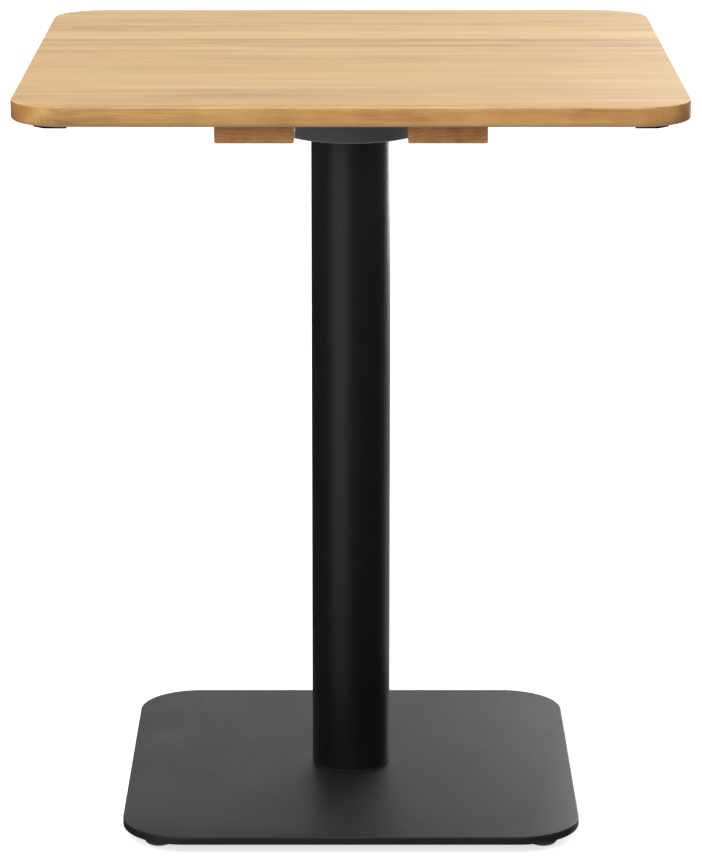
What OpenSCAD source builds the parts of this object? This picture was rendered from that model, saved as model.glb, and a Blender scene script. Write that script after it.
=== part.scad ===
// Square bistro table: an edge-glued board top on two battens, carried by a
// round steel column on a flat steel base plate with four levelling glides.
// Millimetres, +Z up. The origin is on the floor, under the middle of the top.
// The front of the table faces -Y, and the boards run along X.

/* [Table] */
// Height of the tabletop surface above the floor
table_h = 724; // [700:1:760]
// Clearance between the floor and the base plate
base_clearance = 11; // [11:1:13]

/* [Tabletop] */
// Side of the square tabletop
top_size = 600; // [580:10:700]
// Thickness of the tabletop boards
top_t = 18; // [18:1:25]
// Corner radius of the tabletop in plan
top_corner_r = 50; // [48:1:60]
// Radius that eases the upper edges of the tabletop
top_edge_r = 1.5; // [1:0.5:4]
// Radius that rounds the lower edges of the tabletop
top_low_edge_r = 3.5; // [1:0.5:4]
// Number of boards glued edge to edge
board_count = 12; // [10:2:16]

/* [Battens] */
// Width of each batten
batten_w = 70; // [64:1:80]
// Thickness of each batten
batten_t = 18; // [18:1:24]
// Clear distance between the two battens
batten_gap = 100; // [96:1:104]
// Distance from the tabletop's front and back edges to the batten ends
batten_inset = 21; // [20:1:40]
// Radius that eases the lower edges of the battens
batten_edge_r = 2; // [1:0.5:4]

/* [Mounting plate and collar] */
// Width of the steel mounting plate, across the battens
plate_w = 230; // [226:2:240]
// Depth of the steel mounting plate, along the battens
plate_d = 220; // [210:2:260]
// Thickness of the steel mounting plate
plate_t = 4; // [4:1:6]
// Distance along a batten from one plate bolt to the next
bolt_pitch = 85; // [75:1:90]
// Outer diameter of the collar under the plate
collar_d = 132; // [124:1:134]
// Height of the collar
collar_h = 34; // [30:0.5:40]

/* [Column] */
// Outer diameter of the column tube
column_d = 76; // [70:1:80]
// Wall thickness of the column tube
column_wall = 2; // [1.5:0.5:3]
// Thickness of the gasket under the column
gasket_t = 2.5; // [1:0.5:3]

/* [Base plate] */
// Side of the square base plate
base_size = 434; // [400:2:480]
// Thickness of the base plate
base_t = 8; // [8:1:12]
// Corner radius of the base plate in plan
base_corner_r = 60; // [40:1:80]
// Radius that eases the edges of the base plate
base_edge_r = 1; // [0.5:0.5:2]
// Distance from the base plate's edges to the middle of each glide
glide_inset = 35.5; // [30:0.5:50]

/* [Corner pads] */
// Side of each square corner pad under the tabletop
pad_size = 30; // [28:1:34]
// Distance from the tabletop's edges to each corner pad
pad_inset = 21; // [20:1:24]
// Thickness of the corner pads
pad_t = 4.5; // [3:0.5:5]

/* [Hidden] */
$fn = 96;

// Running clearance between a turning stud and its thread or socket
fit_gap = 0.05;
// Gap between faces of pieces that move apart
face_gap = 0.3;
// Gap all round the column where the collar takes it
collar_gap = 0.15;
// Gap all round the spigot inside the column
spigot_gap = 0.2;
// How far a cutter runs past the face that it opens
past = 1;

// Levels above the floor
base_top_z = base_clearance + base_t;
top_under_z = table_h - top_t;
batten_under_z = top_under_z - batten_t;
plate_under_z = batten_under_z - plate_t;
collar_under_z = plate_under_z - collar_h;

// Tabletop and battens
inner_board_w = (top_size - 2 * top_corner_r) / (board_count - 2);
batten_x = (batten_gap + batten_w) / 2;
batten_l = top_size - 2 * batten_inset;

// Countersunk wood screws: [diameter, head diameter, length]
batten_screw = [4.5, 9, 28];
pad_screw = [3, 6, 13];
// Distance from a batten's middle to its line of screws
batten_screw_x = 20;
// Distance from a pad's middle to its screws, along each side
pad_screw_x = 8;
// Leg of the corner cut off each pad, to follow the tabletop's round corner
pad_cut = 10;

// M6 bolts through the mounting plate, and the inserts that take them
m6_r = 3;
m6_clear_r = 3.3;
insert_r = 5;
insert_l = 13;
insert_hole_l = 15;
bolt_l = 16;
bolt_washer_r = 9;
bolt_washer_t = 1.6;
plate_corner_r = 15;

// Collar: a cup around the column, with four tapped bosses
collar_r = collar_d / 2;
collar_bore_r = column_d / 2 + collar_gap;
collar_wall = 5;
collar_web = 6;
collar_edge_r = 2;
boss_r = 10;
boss_pitch_r = (collar_bore_r + collar_r) / 2;
collar_screw_l = 18;
collar_screw_head_r = 6.2;
tapped_depth = 16;

// M10 tie rod that clamps mounting plate, column and base plate together
rod_r = 5;
rod_clear_r = 5.3;
rod_chamfer = 0.8;
rod_washer_r = 15;
rod_washer_t = 2.5;
rod_nut_af = 16;
rod_nut_h = 8;
rod_thin_nut_h = 5;
rod_end = 1;
rod_bottom_z = base_clearance - rod_washer_t - rod_thin_nut_h - rod_end;
rod_top_z = batten_under_z + rod_washer_t + rod_nut_h + rod_end;

// Spigot that centres the column on the base plate
spigot_r = column_d / 2 - column_wall - spigot_gap;
spigot_h = 10;
spigot_chamfer = 1;

// How far the gasket's rim stands back from the column's face
gasket_inset = 0.5;

// Glides: a threaded bush in the plate, a stud, a foot and its sliding sole
glide_x = base_size / 2 - glide_inset;
thread_r = 4;
bush_r = 7;
bush_sunk = 6.5;
bush_flange_r = 10;
bush_flange_t = 2;
stud_flange_af = 13;
stud_flange_t = 2.4;
stud_chamfer = 0.6;
stud_flange_z = base_clearance - bush_flange_t - face_gap - stud_flange_t;
foot_top_z = stud_flange_z - face_gap;
foot_r = 14;
foot_fillet = 5;
foot_floor = 0.8;
lip_t = 0.8;
knob_r = 4;
neck_r = 2.5;
knob_gap = 0.15;
sole_r = 8;
sole_t = 1.4;
sole_proud = 0.6;
sole_chamfer = 0.3;
socket_z = sole_t + foot_floor;
socket_top_z = foot_top_z - lip_t;

// Colours
wood = "#d9b484";
wood_dark = "#9a6c40";
black = "#1c1c1c";
charcoal = "#3d3d3e";
grey = "#58595b";
pale_grey = "#8d8f91";
zinc = "#b9bcc0";
brass = "#c8a256";

// Corners of the base: [name, side along X, side along Y]
CORNERS = [
    ["front_left", -1, -1],
    ["front_right", 1, -1],
    ["back_left", -1, 1],
    ["back_right", 1, 1]
];

// ---- Places that repeat ----

// All four quadrants, mirrored from the first one
module each_quadrant() {
    for (mx = [0, 1], my = [0, 1])
        mirror([mx, 0, 0]) mirror([0, my, 0]) children();
}

// Both battens, at a distance outwards from their centre lines
module each_batten(outwards = 0) {
    for (side = [-1, 1])
        translate([side * (batten_x + outwards), 0, 0]) children();
}

// The bolt line of the mounting plate along both battens
module each_plate_bolt() {
    each_batten()
        for (step = [-1:1]) translate([0, step * bolt_pitch, 0]) children();
}

// The four bosses of the collar, each with its own X axis along the rim
module each_boss() {
    for (turn = [45:90:315])
        rotate([0, 0, turn]) translate([boss_pitch_r, 0, 0]) rotate([0, 0, 90]) children();
}

// The two screws of the pad in the first quadrant
module each_pad_screw() {
    middle = top_size / 2 - pad_inset - pad_size / 2;
    for (side = [-1, 1])
        translate([middle + side * pad_screw_x, middle - side * pad_screw_x, 0]) children();
}

// The four glides
module each_glide() {
    for (c = CORNERS)
        translate([c[1] * glide_x, c[2] * glide_x, 0]) children();
}

// ---- Shapes that repeat ----

// Half of a slab's upright section: square at x = 0, eased at x = depth
module rim_section(depth, t, low_r, high_r) {
    square([depth - low_r, t - high_r]);
    translate([0, low_r]) square([depth, t - low_r - high_r]);
    translate([0, low_r]) square([depth - high_r, t - low_r]);
    translate([depth - low_r, low_r]) circle(low_r);
    translate([depth - high_r, t - high_r]) circle(high_r);
}

// Straight rim of a slab, centred along X, from y = 0 to its eased face at -depth
module slab_rim(length, depth, t, low_r, high_r) {
    translate([-length / 2, 0, 0])
        rotate([90, 0, 90])
            linear_extrude(length) mirror([1, 0, 0]) rim_section(depth, t, low_r, high_r);
}

// Round corner of a slab, in the first quadrant around its own centre
module slab_corner(corner_r, t, low_r, high_r) {
    rotate_extrude(angle = 90) rim_section(corner_r, t, low_r, high_r);
}

// Square slab with round corners and eased edges, standing on z = 0
module eased_slab(size, t, corner_r, r) {
    reach = size / 2 - corner_r;
    translate([-reach, -reach, 0]) cube([2 * reach, 2 * reach, t]);
    for (turn = [0:90:270]) rotate([0, 0, turn]) {
        translate([0, -reach, 0]) slab_rim(2 * reach, corner_r, t, r, r);
        translate([reach, reach, 0]) slab_corner(corner_r, t, r, r);
    }
}

// Bar section standing on y = 0, with its two lower corners eased
module bar_section(w, t, r) {
    translate([-w / 2, r]) square([w, t - r]);
    translate([r - w / 2, 0]) square([w - 2 * r, t]);
    for (side = [-1, 1])
        translate([side * (w / 2 - r), r]) circle(r);
}

// Flat ring standing on z = 0
module ring(outer_r, inner_r, t) {
    difference() {
        cylinder(r = outer_r, h = t);
        translate([0, 0, -past]) cylinder(r = inner_r, h = t + 2 * past);
    }
}

// Hexagonal prism standing on z = 0, with its corners chamfered at both ends
module hex_body(af, h) {
    corner_r = af / sqrt(3);
    chamfer = (corner_r - af / 2) / 2;
    intersection() {
        cylinder(r = corner_r, h = h, $fn = 6);
        rotate_extrude() polygon([
            [0, 0],
            [af / 2, 0],
            [corner_r + chamfer, 3 * chamfer / 2],
            [corner_r + chamfer, h - 3 * chamfer / 2],
            [af / 2, h],
            [0, h]
        ]);
    }
}

// Hexagonal nut standing on z = 0
module hex_nut(af, h, bore_r) {
    difference() {
        hex_body(af, h);
        translate([0, 0, -past]) cylinder(r = bore_r, h = h + 2 * past);
    }
}

// Outline of a countersunk wood screw, from its flat head at z = 0 up to its
// tip; it is also the shape of the hole that the screw fills
module screw_outline(size) {
    r = size[0] / 2;
    head_r = size[1] / 2;
    tip_h = 2 * size[0];
    rotate_extrude() polygon([
        [0, 0],
        [head_r, 0],
        [r, head_r - r],
        [r, size[2] - tip_h],
        [0, size[2]]
    ]);
}

// Countersunk wood screw with a cross recess in its head
module wood_screw(size) {
    span = size[1] * 0.55;
    slot = size[0] * 0.24;
    depth = size[0] * 0.4;
    difference() {
        screw_outline(size);
        for (turn = [0, 90])
            rotate([0, 0, turn])
                translate([-span / 2, -slot / 2, -past]) cube([span, slot, depth + past]);
    }
}

// Outline of a countersunk machine screw, from its flat head at z = 0 downwards
module machine_screw_outline(r, head_r, length) {
    rotate_extrude() polygon([
        [0, 0],
        [head_r, 0],
        [r, r - head_r],
        [r, -length],
        [0, -length]
    ]);
}

// Hexagon socket, cut upwards to a depth from z = 0
module hex_socket(af, depth) {
    translate([0, 0, -past]) cylinder(r = af / sqrt(3), h = depth + past, $fn = 6);
}

// Round-headed bolt with a hexagon socket: the head hangs below z = 0 and the
// thread stands above it
module button_bolt(r, length) {
    head_r = 1.75 * r;
    head_h = 1.1 * r;
    dome_r = (head_r * head_r + head_h * head_h) / (2 * head_h);
    difference() {
        union() {
            cylinder(r = r, h = length);
            rotate_extrude() intersection() {
                translate([0, -head_h]) square([head_r, head_h]);
                translate([0, dome_r - head_h]) circle(dome_r);
            }
        }
        translate([0, 0, -head_h]) hex_socket(4 * r / 3, 0.6 * head_h);
    }
}

// ---- Tabletop ----

// Lower edge along Y of board number i, counted from 1 at the front
function board_y(i) = top_corner_r - top_size / 2 + (i - 2) * inner_board_w;

// True for the inner boards that are screwed to the battens: every second one,
// counted from the front and from the back
function is_screwed(i) =
    i > 1 && i < board_count && (i <= board_count / 2 ? i : board_count + 1 - i) % 2 == 0;

// Board between the two outer ones, from y = 0 to its full width
module inner_board() {
    for (mx = [0, 1])
        mirror([mx, 0, 0])
            translate([0, inner_board_w, 0])
                rotate([90, 0, 0])
                    linear_extrude(inner_board_w)
                        rim_section(top_size / 2, top_t, top_low_edge_r, top_edge_r);
}

// Front board, as deep as the tabletop's round corners
module front_board() {
    reach = top_size / 2 - top_corner_r;
    difference() {
        translate([0, -reach, 0]) {
            slab_rim(2 * reach, top_corner_r, top_t, top_low_edge_r, top_edge_r);
            for (mx = [0, 1])
                mirror([mx, 0, 0])
                    translate([reach, 0, 0])
                        rotate([0, 0, -90])
                            slab_corner(top_corner_r, top_t, top_low_edge_r, top_edge_r);
        }
        for (mx = [0, 1])
            mirror([mx, 0, 0]) mirror([0, 1, 0])
                translate([0, 0, -pad_t]) each_pad_screw() screw_outline(pad_screw);
    }
}

module top_board(i) {
    color(wood) translate([0, 0, top_under_z]) {
        if (i == 1) front_board();
        if (i == board_count) mirror([0, 1, 0]) front_board();
        if (i > 1 && i < board_count)
            translate([0, board_y(i), 0]) difference() {
                inner_board();
                if (is_screwed(i))
                    translate([0, inner_board_w / 2, -batten_t])
                        each_batten(batten_screw_x) screw_outline(batten_screw);
            }
    }
}

// ---- Battens and their fixings ----

// Every wood screw through the battens, at the battens' underside
module each_batten_screw() {
    for (i = [1:board_count])
        if (is_screwed(i))
            translate([0, board_y(i) + inner_board_w / 2, batten_under_z])
                each_batten(batten_screw_x) children();
}

module batten(side) {
    color(wood_dark) difference() {
        translate([side * batten_x, 0, batten_under_z]) intersection() {
            translate([0, batten_l / 2, 0])
                rotate([90, 0, 0])
                    linear_extrude(batten_l) bar_section(batten_w, batten_t, batten_edge_r);
            translate([-batten_w / 2, 0, 0])
                rotate([90, 0, 90])
                    linear_extrude(batten_w) bar_section(batten_l, batten_t, batten_edge_r);
        }
        each_batten_screw() screw_outline(batten_screw);
        translate([0, 0, batten_under_z - past])
            each_plate_bolt() cylinder(r = insert_r, h = insert_hole_l + past);
    }
}

module batten_left() {
    batten(-1);
}

module batten_right() {
    batten(1);
}

module batten_screws() {
    color(zinc) each_batten_screw() wood_screw(batten_screw);
}

module threaded_inserts() {
    color(brass) translate([0, 0, batten_under_z])
        each_plate_bolt() ring(insert_r, m6_r, insert_l);
}

// ---- Corner pads ----

module corner_pads() {
    near = top_size / 2 - pad_inset - pad_size;
    long = pad_size;
    short = pad_size - pad_cut;
    color(black) each_quadrant() difference() {
        translate([near, near, top_under_z - pad_t])
            linear_extrude(pad_t)
                polygon([[0, 0], [long, 0], [long, short], [short, long], [0, long]]);
        translate([0, 0, top_under_z - pad_t]) each_pad_screw() screw_outline(pad_screw);
    }
}

module corner_pad_screws() {
    color(zinc) translate([0, 0, top_under_z - pad_t])
        each_quadrant() each_pad_screw() wood_screw(pad_screw);
}

// ---- Mounting plate and collar ----

module mounting_plate() {
    color(black) difference() {
        translate([0, 0, plate_under_z]) linear_extrude(plate_t) {
            square([plate_w - 2 * plate_corner_r, plate_d], center = true);
            square([plate_w, plate_d - 2 * plate_corner_r], center = true);
            for (sx = [-1, 1], sy = [-1, 1])
                translate([
                    sx * (plate_w / 2 - plate_corner_r),
                    sy * (plate_d / 2 - plate_corner_r)
                ])
                    circle(plate_corner_r);
        }
        translate([0, 0, plate_under_z - past]) {
            cylinder(r = rod_clear_r, h = plate_t + 2 * past);
            each_plate_bolt() cylinder(r = m6_clear_r, h = plate_t + 2 * past);
        }
        collar_screw_outlines();
    }
}

module plate_bolts() {
    color(zinc) translate([0, 0, plate_under_z - bolt_washer_t])
        each_plate_bolt() button_bolt(m6_r, bolt_l);
}

module plate_washers() {
    color(zinc) translate([0, 0, plate_under_z - bolt_washer_t])
        each_plate_bolt() ring(bolt_washer_r, m6_clear_r, bolt_washer_t);
}

// Section of the collar: web below, sleeve around the column, outer wall
module collar_section() {
    translate([collar_bore_r, 0]) square([collar_wall, collar_h]);
    translate([collar_bore_r, 0])
        square([collar_r - collar_edge_r - collar_bore_r, collar_web]);
    translate([collar_r - collar_wall, collar_edge_r])
        square([collar_wall, collar_h - collar_edge_r]);
    translate([collar_r - collar_edge_r, collar_edge_r]) circle(collar_edge_r);
}

module collar() {
    color(grey) translate([0, 0, collar_under_z]) difference() {
        union() {
            rotate_extrude() collar_section();
            each_boss() cylinder(r = boss_r, h = collar_h);
        }
        translate([0, 0, collar_h - tapped_depth])
            each_boss() cylinder(r = m6_r, h = tapped_depth + past);
        translate([0, 0, -past]) cylinder(r = collar_bore_r, h = collar_h + 2 * past);
    }
}

// Outlines of the four screws that hold the collar, flush with the plate's top
module collar_screw_outlines() {
    translate([0, 0, batten_under_z])
        each_boss() machine_screw_outline(m6_r, collar_screw_head_r, collar_screw_l);
}

module collar_screws() {
    color(zinc) difference() {
        collar_screw_outlines();
        translate([0, 0, batten_under_z])
            each_boss() mirror([0, 0, 1]) hex_socket(4 * m6_r / 3, m6_r);
    }
}

// ---- Column ----

module column_tube() {
    bottom_z = base_top_z + gasket_t;
    color(black) translate([0, 0, bottom_z])
        ring(column_d / 2, column_d / 2 - column_wall, plate_under_z - bottom_z);
}

module column_gasket() {
    color(black) translate([0, 0, base_top_z])
        ring(column_d / 2 - gasket_inset, column_d / 2 - column_wall, gasket_t);
}

module column_spigot() {
    color(zinc) translate([0, 0, base_top_z]) difference() {
        union() {
            cylinder(r = spigot_r, h = spigot_h - spigot_chamfer);
            translate([0, 0, spigot_h - spigot_chamfer])
                cylinder(r1 = spigot_r, r2 = spigot_r - spigot_chamfer, h = spigot_chamfer);
        }
        translate([0, 0, -past]) cylinder(r = rod_clear_r, h = spigot_h + 2 * past);
    }
}

// ---- Tie rod ----

module tie_rod() {
    color(zinc) rotate_extrude() polygon([
        [0, rod_bottom_z],
        [rod_r - rod_chamfer, rod_bottom_z],
        [rod_r, rod_bottom_z + rod_chamfer],
        [rod_r, rod_top_z - rod_chamfer],
        [rod_r - rod_chamfer, rod_top_z],
        [0, rod_top_z]
    ]);
}

module rod_washers() {
    color(zinc) for (z = [base_clearance - rod_washer_t, batten_under_z])
        translate([0, 0, z]) ring(rod_washer_r, rod_clear_r, rod_washer_t);
}

module rod_nut_upper() {
    color(zinc) translate([0, 0, batten_under_z + rod_washer_t])
        hex_nut(rod_nut_af, rod_nut_h, rod_r);
}

module rod_nut_lower() {
    color(zinc) translate([0, 0, rod_bottom_z + rod_end])
        hex_nut(rod_nut_af, rod_thin_nut_h, rod_r);
}

// ---- Base plate ----

module base_plate() {
    color(charcoal) translate([0, 0, base_clearance]) difference() {
        eased_slab(base_size, base_t, base_corner_r, base_edge_r);
        translate([0, 0, -past]) {
            cylinder(r = rod_clear_r, h = base_t + 2 * past);
            each_glide() cylinder(r = bush_r, h = bush_sunk + past);
        }
    }
}

// ---- Glides ----

module glide_bushes() {
    color(zinc) each_glide() translate([0, 0, base_clearance]) {
        ring(bush_r, thread_r, bush_sunk);
        translate([0, 0, -bush_flange_t]) ring(bush_flange_r, thread_r, bush_flange_t);
    }
}

// Stud: threaded shank, hexagon to turn it by, and a knob that the foot holds
module glide_stud() {
    shank_r = thread_r - fit_gap;
    shank_z = stud_flange_z + stud_flange_t;
    shank_top_z = base_clearance + bush_sunk - face_gap;
    color(zinc) {
        rotate_extrude() polygon([
            [0, socket_z + knob_gap],
            [knob_r - stud_chamfer, socket_z + knob_gap],
            [knob_r, socket_z + knob_gap + stud_chamfer],
            [knob_r, socket_top_z - knob_gap],
            [neck_r, socket_top_z - knob_gap],
            [neck_r, shank_z],
            [shank_r, shank_z],
            [shank_r, shank_top_z - stud_chamfer],
            [shank_r - stud_chamfer, shank_top_z],
            [0, shank_top_z]
        ]);
        translate([0, 0, stud_flange_z]) hex_body(stud_flange_af, stud_flange_t);
    }
}

// Foot: a round shoe with a socket for the knob and a recess for the sole
module glide_foot() {
    knee_z = sole_proud + foot_fillet;
    color(black) rotate_extrude() difference() {
        union() {
            translate([0, sole_proud]) square([foot_r - foot_fillet, foot_top_z - sole_proud]);
            translate([0, knee_z]) square([foot_r, foot_top_z - knee_z]);
            intersection() {
                translate([foot_r - foot_fillet, knee_z]) circle(foot_fillet);
                square([foot_r, knee_z]);
            }
        }
        translate([-past, 0]) square([sole_r + past, sole_t]);
        translate([-past, socket_z])
            square([knob_r + fit_gap + past, socket_top_z - socket_z]);
        translate([-past, socket_z])
            square([neck_r + fit_gap + past, foot_top_z + past - socket_z]);
    }
}

module glide_sole() {
    color(pale_grey) rotate_extrude() polygon([
        [0, 0],
        [sole_r - sole_chamfer, 0],
        [sole_r, sole_chamfer],
        [sole_r, sole_t],
        [0, sole_t]
    ]);
}

// ---- Nodes ----

for (i = [1:board_count])
    top_board(i);
batten_left();
batten_right();
batten_screws();
threaded_inserts();
corner_pads();
corner_pad_screws();
mounting_plate();
plate_bolts();
plate_washers();
collar();
collar_screws();
column_tube();
column_gasket();
column_spigot();
tie_rod();
rod_washers();
rod_nut_upper();
rod_nut_lower();
base_plate();
glide_bushes();
for (c = CORNERS) {
    place = [c[1] * glide_x, c[2] * glide_x, 0];
    translate(place) glide_stud();
    translate(place) glide_foot();
    translate(place) glide_sole();
}
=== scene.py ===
import math

import bpy
from mathutils import Matrix, Vector


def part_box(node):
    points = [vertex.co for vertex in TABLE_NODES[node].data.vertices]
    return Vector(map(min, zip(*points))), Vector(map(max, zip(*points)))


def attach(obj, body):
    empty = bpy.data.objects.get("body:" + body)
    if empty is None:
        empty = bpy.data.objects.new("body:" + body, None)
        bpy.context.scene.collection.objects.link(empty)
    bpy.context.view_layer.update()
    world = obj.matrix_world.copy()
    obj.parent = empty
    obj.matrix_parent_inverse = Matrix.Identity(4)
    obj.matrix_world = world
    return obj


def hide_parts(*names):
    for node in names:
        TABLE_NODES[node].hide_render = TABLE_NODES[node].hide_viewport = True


# Looks of the square bistro table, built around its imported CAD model.
# Shapes are worked out in millimetres and become metres in made().

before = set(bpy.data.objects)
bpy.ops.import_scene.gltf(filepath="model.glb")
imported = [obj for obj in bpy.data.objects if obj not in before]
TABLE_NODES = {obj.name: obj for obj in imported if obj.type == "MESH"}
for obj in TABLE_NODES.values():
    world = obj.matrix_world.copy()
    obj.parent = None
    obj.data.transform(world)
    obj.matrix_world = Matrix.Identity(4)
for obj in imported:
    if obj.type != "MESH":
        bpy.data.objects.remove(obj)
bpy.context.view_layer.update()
scene = bpy.context.scene

MM = 0.001

# Sides of the round shapes, from those that show most to the smallest
FINE = 128
ROUND = 96
SMALL = 64
TINY = 48

CORNERS = {
    "front_left": (-1, -1),
    "front_right": (1, -1),
    "back_left": (-1, 1),
    "back_right": (1, 1),
}


def box_mm(node):
    """Lowest and highest corner of a CAD node, in millimetres."""
    low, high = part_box(node)
    return low / MM, high / MM


# ---- Shapes: each is (points, faces), in millimetres ----


def arc(centre_x, centre_y, radius, start, end, steps):
    """Points of an arc from one angle to another, in degrees, both ends included."""
    angles = [math.radians(start + (end - start) * i / steps) for i in range(steps + 1)]
    return [(centre_x + radius * math.cos(a), centre_y + radius * math.sin(a)) for a in angles]


def merged(*shapes):
    """Several shapes as one."""
    points, faces = [], []
    for shape_points, shape_faces in shapes:
        base = len(points)
        points += shape_points
        faces += [tuple(base + i for i in face) for face in shape_faces]
    return points, faces


def placed(shape, x=0.0, y=0.0, z=0.0, turn=0.0):
    """A shape turned about Z, in degrees, and then moved."""
    matrix = Matrix.Translation((x, y, z)) @ Matrix.Rotation(math.radians(turn), 4, "Z")
    return [tuple(matrix @ Vector(p)) for p in shape[0]], shape[1]


def stacked(rings):
    """A closed skin over rings of (x, y, z) points, from the lowest to the highest."""
    count = len(rings[0])
    points = [p for ring in rings for p in ring]
    faces = [tuple(reversed(range(count)))]
    for level in range(len(rings) - 1):
        for i in range(count):
            here, after = level * count + i, level * count + (i + 1) % count
            faces.append((here, after, after + count, here + count))
    faces.append(tuple(range(len(points) - count, len(points))))
    return points, faces


def lathe(profile, segments=ROUND):
    """A section of (radius, z) points, counter-clockwise, turned about Z.

    A section that starts and ends on the axis makes a solid, and any other one a ring.
    """
    on_axis = profile[0][0] == 0 and profile[-1][0] == 0
    points, rows = [], []
    for radius, z in profile:
        if radius == 0:
            rows.append([len(points)] * segments)
            points.append((0.0, 0.0, z))
            continue
        rows.append(list(range(len(points), len(points) + segments)))
        for i in range(segments):
            angle = 2 * math.pi * i / segments
            points.append((radius * math.cos(angle), radius * math.sin(angle), z))
    faces = []
    for low, high in zip(rows, rows[1:] + ([] if on_axis else rows[:1])):
        for i in range(segments):
            j = (i + 1) % segments
            face = dict.fromkeys((low[i], low[j], high[j], high[i]))
            faces.append(tuple(face))
    return points, faces


def convex_ring(corners, inset, radius, z, steps):
    """A convex outline, counter-clockwise, moved inwards and rounded at its corners."""
    corners = [Vector(c) for c in corners]
    ring = []
    for before, here, after in zip(corners[-1:] + corners, corners, corners[1:] + corners[:1]):
        into, out = (here - before).normalized(), (after - here).normalized()
        turn = -into.angle_signed(out)
        reach = math.tan(turn / 2)
        middle = Vector((-into.y, into.x)) * (inset + radius) + here - into * (inset + radius) * reach
        start = math.degrees(math.atan2(-into.x, into.y))
        for x, y in arc(middle.x, middle.y, radius, start, start + math.degrees(turn), steps):
            ring.append((x, y, z))
    return ring


def eased_levels(low_z, high_z, low_ease, high_ease, steps=5):
    """(inset, z) of each ring of a slab whose two edges are rounded."""
    levels = []
    for i in range(steps + 1):
        angle = math.pi / 2 * i / steps
        levels.append((low_ease * (1 - math.sin(angle)), low_z + low_ease * (1 - math.cos(angle))))
    for i in range(steps + 1):
        angle = math.pi / 2 * i / steps
        levels.append((high_ease * (1 - math.cos(angle)), high_z - high_ease * (1 - math.sin(angle))))
    return levels


SMALLEST_R = 0.05

# How far a cutter reaches past the face it opens
PAST = 1.0


def slab(corners, radius, low_z, high_z, low_ease, high_ease, corner_steps=8, edge_steps=5):
    """A prism over a convex outline, with rounded corners and eased edges."""
    rings = []
    for inset, z in eased_levels(low_z, high_z, low_ease, high_ease, edge_steps):
        rings.append(convex_ring(corners, inset, max(radius - inset, SMALLEST_R), z, corner_steps))
    return stacked(rings)


def rectangle(half_x, half_y, x=0.0, y=0.0):
    """Corners of a rectangle round a middle point, counter-clockwise."""
    return [
        (x - half_x, y - half_y),
        (x + half_x, y - half_y),
        (x + half_x, y + half_y),
        (x - half_x, y + half_y),
    ]


def hexagon(across_flats):
    """Corners of a hexagon round the origin."""
    return arc(0, 0, across_flats / math.sqrt(3), 0, 300, 5)


def pin(radius, low_z, high_z, segments=SMALL):
    """A plain upright cylinder."""
    return lathe([(0, low_z), (radius, low_z), (radius, high_z), (0, high_z)], segments)


def pipe(outer_r, inner_r, low_z, high_z, ease):
    """A ring with all four of its edges rounded."""
    profile = arc(outer_r - ease, low_z + ease, ease, -90, 0, 3)
    profile += arc(outer_r - ease, high_z - ease, ease, 0, 90, 3)
    profile += arc(inner_r + ease, high_z - ease, ease, 90, 180, 3)
    profile += arc(inner_r + ease, low_z + ease, ease, 180, 270, 3)
    return lathe(profile, FINE)


def mirrored(shape, side_x, side_y):
    """A shape mirrored in X, in Y or in both, by the signs of the sides."""
    points = [(x * side_x, y * side_y, z) for x, y, z in shape[0]]
    faces = shape[1] if side_x * side_y > 0 else [tuple(reversed(f)) for f in shape[1]]
    return points, faces


def threaded_bar(major_r, minor_r, pitch, low_z, high_z, chamfer, segments=TINY, rows_per_turn=8):
    """A right-hand external thread, closed at both ends and chamfered there."""
    rows = round((high_z - low_z) / pitch * rows_per_turn)
    rings = []
    for row in range(rows + 1):
        z = low_z + (high_z - low_z) * row / rows
        from_end = min(z - low_z, high_z - z)
        limit = major_r - max(0.0, chamfer - from_end)
        ring = []
        for i in range(segments):
            share = i / segments
            phase = (z / pitch - share) % 1
            flank = 1 - abs(2 * phase - 1)
            # The slope is cut off at both ends, which leaves a flat root and a flat crest.
            radius = minor_r + (major_r - minor_r) * min(1.0, max(0.0, 1.25 * flank - 0.1))
            radius = min(radius, limit)
            ring.append((
                radius * math.cos(2 * math.pi * share),
                radius * math.sin(2 * math.pi * share),
                z,
            ))
        rings.append(ring)
    return stacked(rings)


def made(name, shape):
    """A shape as a Blender object in metres, with no shading or material set."""
    mesh = bpy.data.meshes.new(name)
    mesh.from_pydata([(x * MM, y * MM, z * MM) for x, y, z in shape[0]], [], shape[1])
    mesh.validate()
    obj = bpy.data.objects.new(name, mesh)
    scene.collection.objects.link(obj)
    return obj


def boolean(shape, tool, operation):
    """The exact boolean of two shapes."""
    first, second = made("boolean_first", shape), made("boolean_second", tool)
    modifier = first.modifiers.new("boolean", "BOOLEAN")
    modifier.operation = operation
    modifier.solver = "EXACT"
    modifier.use_self = False
    modifier.object = second
    result = bpy.data.meshes.new_from_object(first.evaluated_get(bpy.context.evaluated_depsgraph_get()))
    points = [tuple(v.co / MM) for v in result.vertices]
    faces = [tuple(p.vertices) for p in result.polygons]
    for obj in (first, second):
        bpy.data.meshes.remove(obj.data)
    bpy.data.meshes.remove(result)
    return points, faces


def cut(shape, *tools):
    """A shape without the room of the tools."""
    return boolean(shape, merged(*tools), "DIFFERENCE")


def piece(name, shape, material, slot, body, *nodes, smooth_under=32, looks=None):
    """A finished piece: it stands for CAD nodes, rides on a body and has its own looks."""
    obj = made(name, shape)
    mesh = obj.data
    mesh.shade_smooth()
    mesh.set_sharp_from_angle(angle=math.radians(smooth_under))
    mesh.materials.append(material)
    for attribute, value in (looks or {}).items():
        data = mesh.attributes.new(attribute, "FLOAT_VECTOR", "POINT").data
        data.foreach_set("vector", [c for _ in mesh.vertices for c in value])
    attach(obj, body)
    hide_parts(*nodes)
    return obj


# ---- Materials ----


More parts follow.
